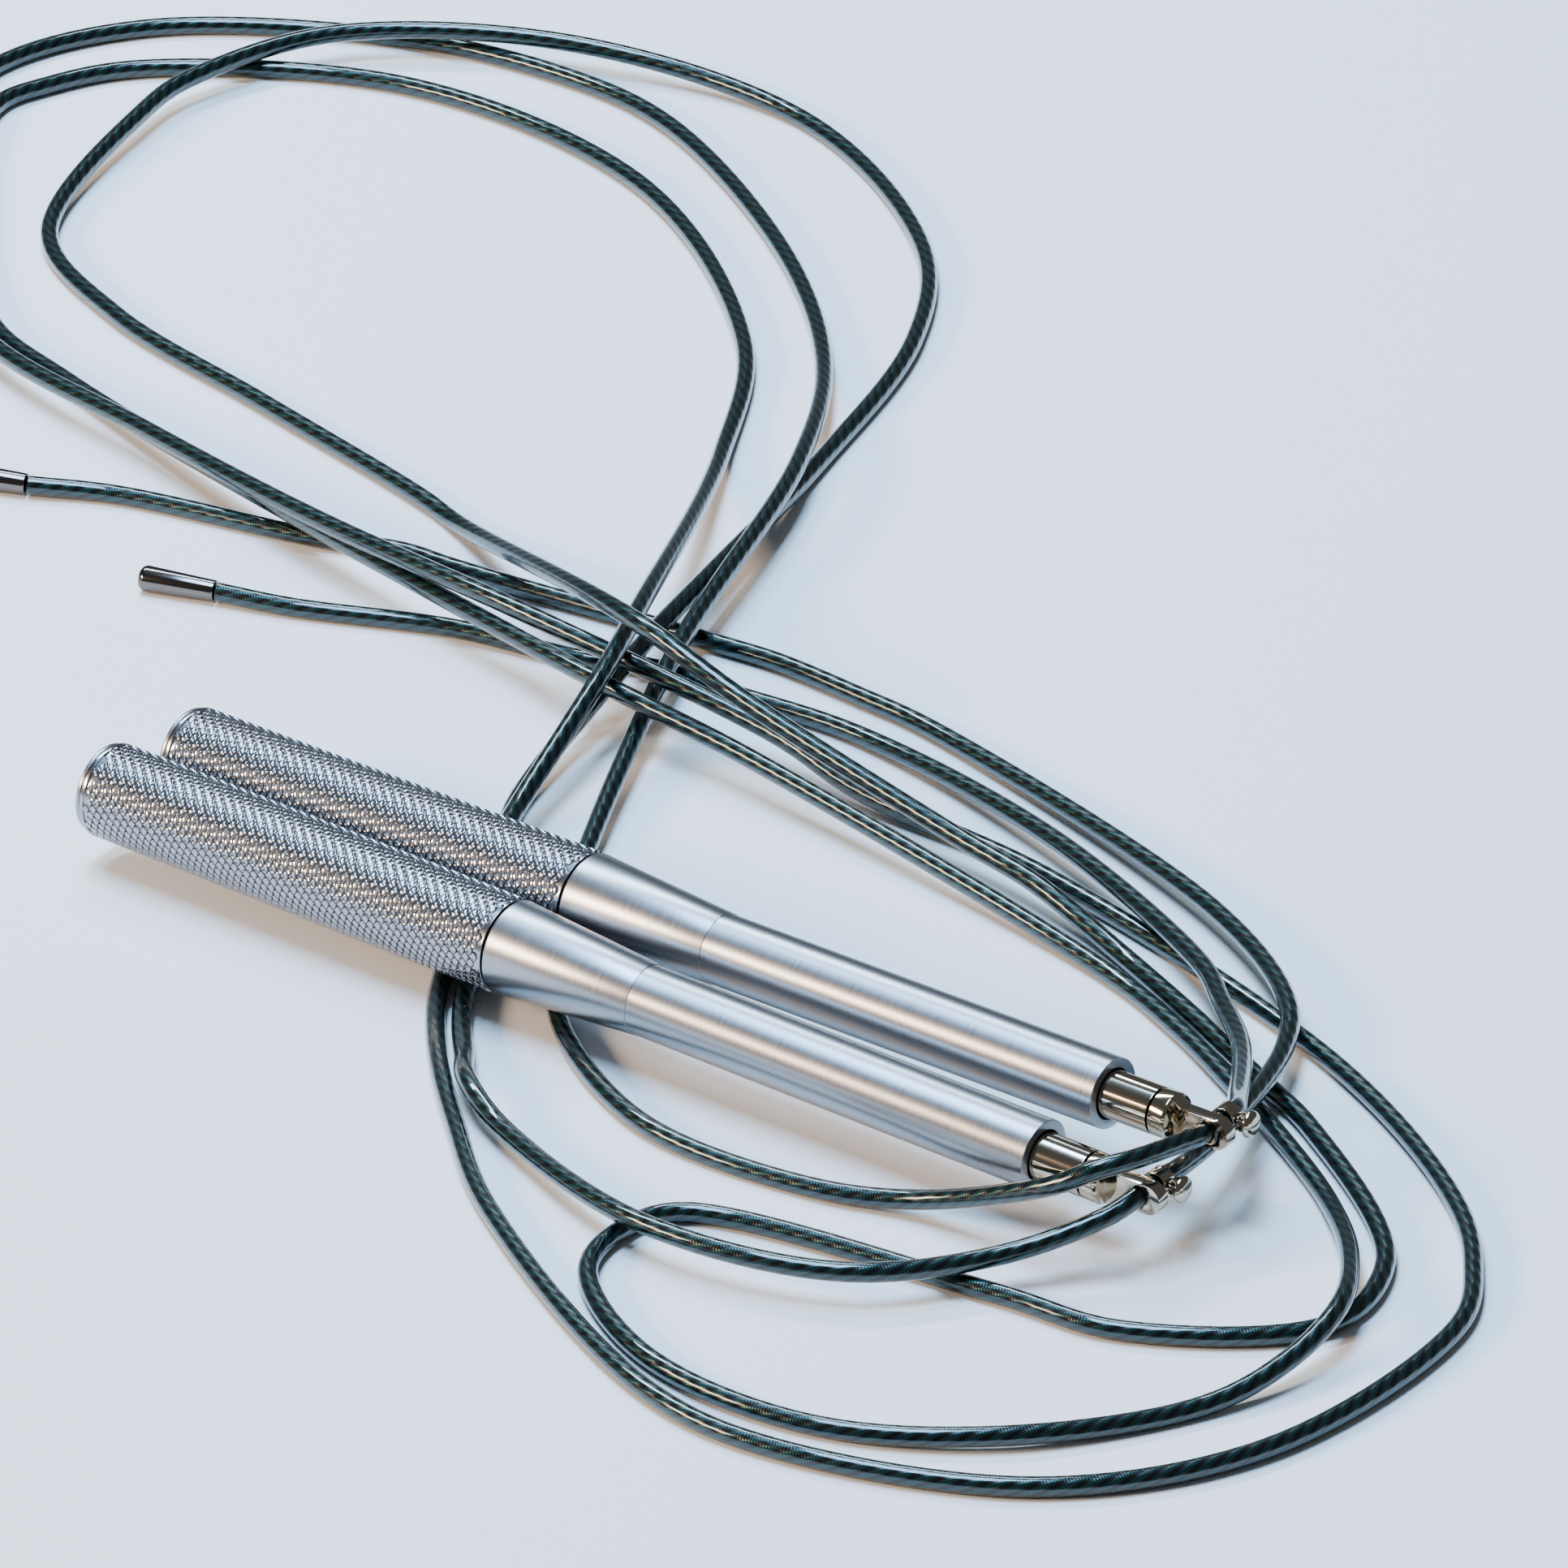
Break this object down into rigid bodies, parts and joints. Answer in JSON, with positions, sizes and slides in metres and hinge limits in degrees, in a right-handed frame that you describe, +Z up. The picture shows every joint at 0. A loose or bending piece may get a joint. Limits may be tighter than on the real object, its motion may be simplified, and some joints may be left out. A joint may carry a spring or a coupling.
{
  "type": "jump rope",
  "caption": "Adjustable speed jump rope: thin coated cable laid in loose loops, slim turned metal handles that spin on ball bearings, stopper collars with thumb screws, and capped tails",
  "frame": {"origin": "the middle of the box round the two handles with their fittings, as they lie side by side on the cable", "axes": "+X along the near handle towards its eye, +Y from the near handle to the far handle, +Z up from the surface that the rope lies on"},
  "size_m": [0.3933, 0.3068, 0.0184],
  "materials": {
    "aluminium": "turned and fine brushed, knurled on the grips",
    "nickel": "polished, slightly warm",
    "bearing_steel": "ground",
    "gunmetal": "polished dark",
    "cable_coat": "glossy dark green translucent coat over a stranded core"
  },
  "bodies": {
    "rope": {"cable_main": "cable_coat", "cable_tail_a": "cable_coat", "cable_tail_b": "cable_coat", "tail_cap_a": "gunmetal", "tail_cap_b": "gunmetal", "near_spindle": "nickel", "near_front_bearing_inner_ring": "bearing_steel", "near_rear_bearing_inner_ring": "bearing_steel", "near_spacer": "bearing_steel", "near_washer": "bearing_steel", "near_lock_nut": "bearing_steel", "near_stopper_collar": "nickel", "far_spindle": "nickel", "far_front_bearing_inner_ring": "bearing_steel", "far_rear_bearing_inner_ring": "bearing_steel", "far_spacer": "bearing_steel", "far_washer": "bearing_steel", "far_lock_nut": "bearing_steel", "far_stopper_collar": "nickel"},
    "near_handle": {"near_grip": "aluminium", "near_barrel": "aluminium", "near_end_plug": "aluminium", "near_sleeve": "nickel", "near_front_bearing_outer_ring": "bearing_steel", "near_rear_bearing_outer_ring": "bearing_steel"},
    "near_ball_cages": {"near_front_bearing_ball_cage": "bearing_steel", "near_rear_bearing_ball_cage": "bearing_steel"},
    "near_thumb_screw_body": {"near_thumb_screw": "nickel"},
    "far_handle": {"far_grip": "aluminium", "far_barrel": "aluminium", "far_end_plug": "aluminium", "far_sleeve": "nickel", "far_front_bearing_outer_ring": "bearing_steel", "far_rear_bearing_outer_ring": "bearing_steel"},
    "far_ball_cages": {"far_front_bearing_ball_cage": "bearing_steel", "far_rear_bearing_ball_cage": "bearing_steel"},
    "far_thumb_screw_body": {"far_thumb_screw": "nickel"}
  },
  "joints": [
    {"name": "near_handle_spin", "type": "hinge", "parent": "rope", "child": "near_handle", "pos_m": [0.07, -0.008, 0], "axis": [1, 0, 0], "continuous": true},
    {"name": "near_cages_spin", "type": "hinge", "parent": "rope", "child": "near_ball_cages", "pos_m": [0.07, -0.008, 0], "axis": [1, 0, 0], "continuous": true},
    {"name": "near_screw_travel", "type": "slide", "parent": "rope", "child": "near_thumb_screw_body", "axis": [0.9986, 0.0523, 0], "range_m": [0, 0.0015]},
    {"name": "far_handle_spin", "type": "hinge", "parent": "rope", "child": "far_handle", "pos_m": [0.0712, 0.0057, 0.0035], "axis": [0.9994, -0.0174, 0.0297], "continuous": true},
    {"name": "far_cages_spin", "type": "hinge", "parent": "rope", "child": "far_ball_cages", "pos_m": [0.0712, 0.0057, 0.0035], "axis": [0.9994, -0.0174, 0.0297], "continuous": true},
    {"name": "far_screw_travel", "type": "slide", "parent": "rope", "child": "far_thumb_screw_body", "axis": [0.9971, 0.0698, 0.0296], "range_m": [0, 0.0015]}
  ],
  "couplings": [
    {"joint": "near_cages_spin", "follows": "near_handle_spin", "ratio": 0.594},
    {"joint": "far_cages_spin", "follows": "far_handle_spin", "ratio": 0.594}
  ]
}
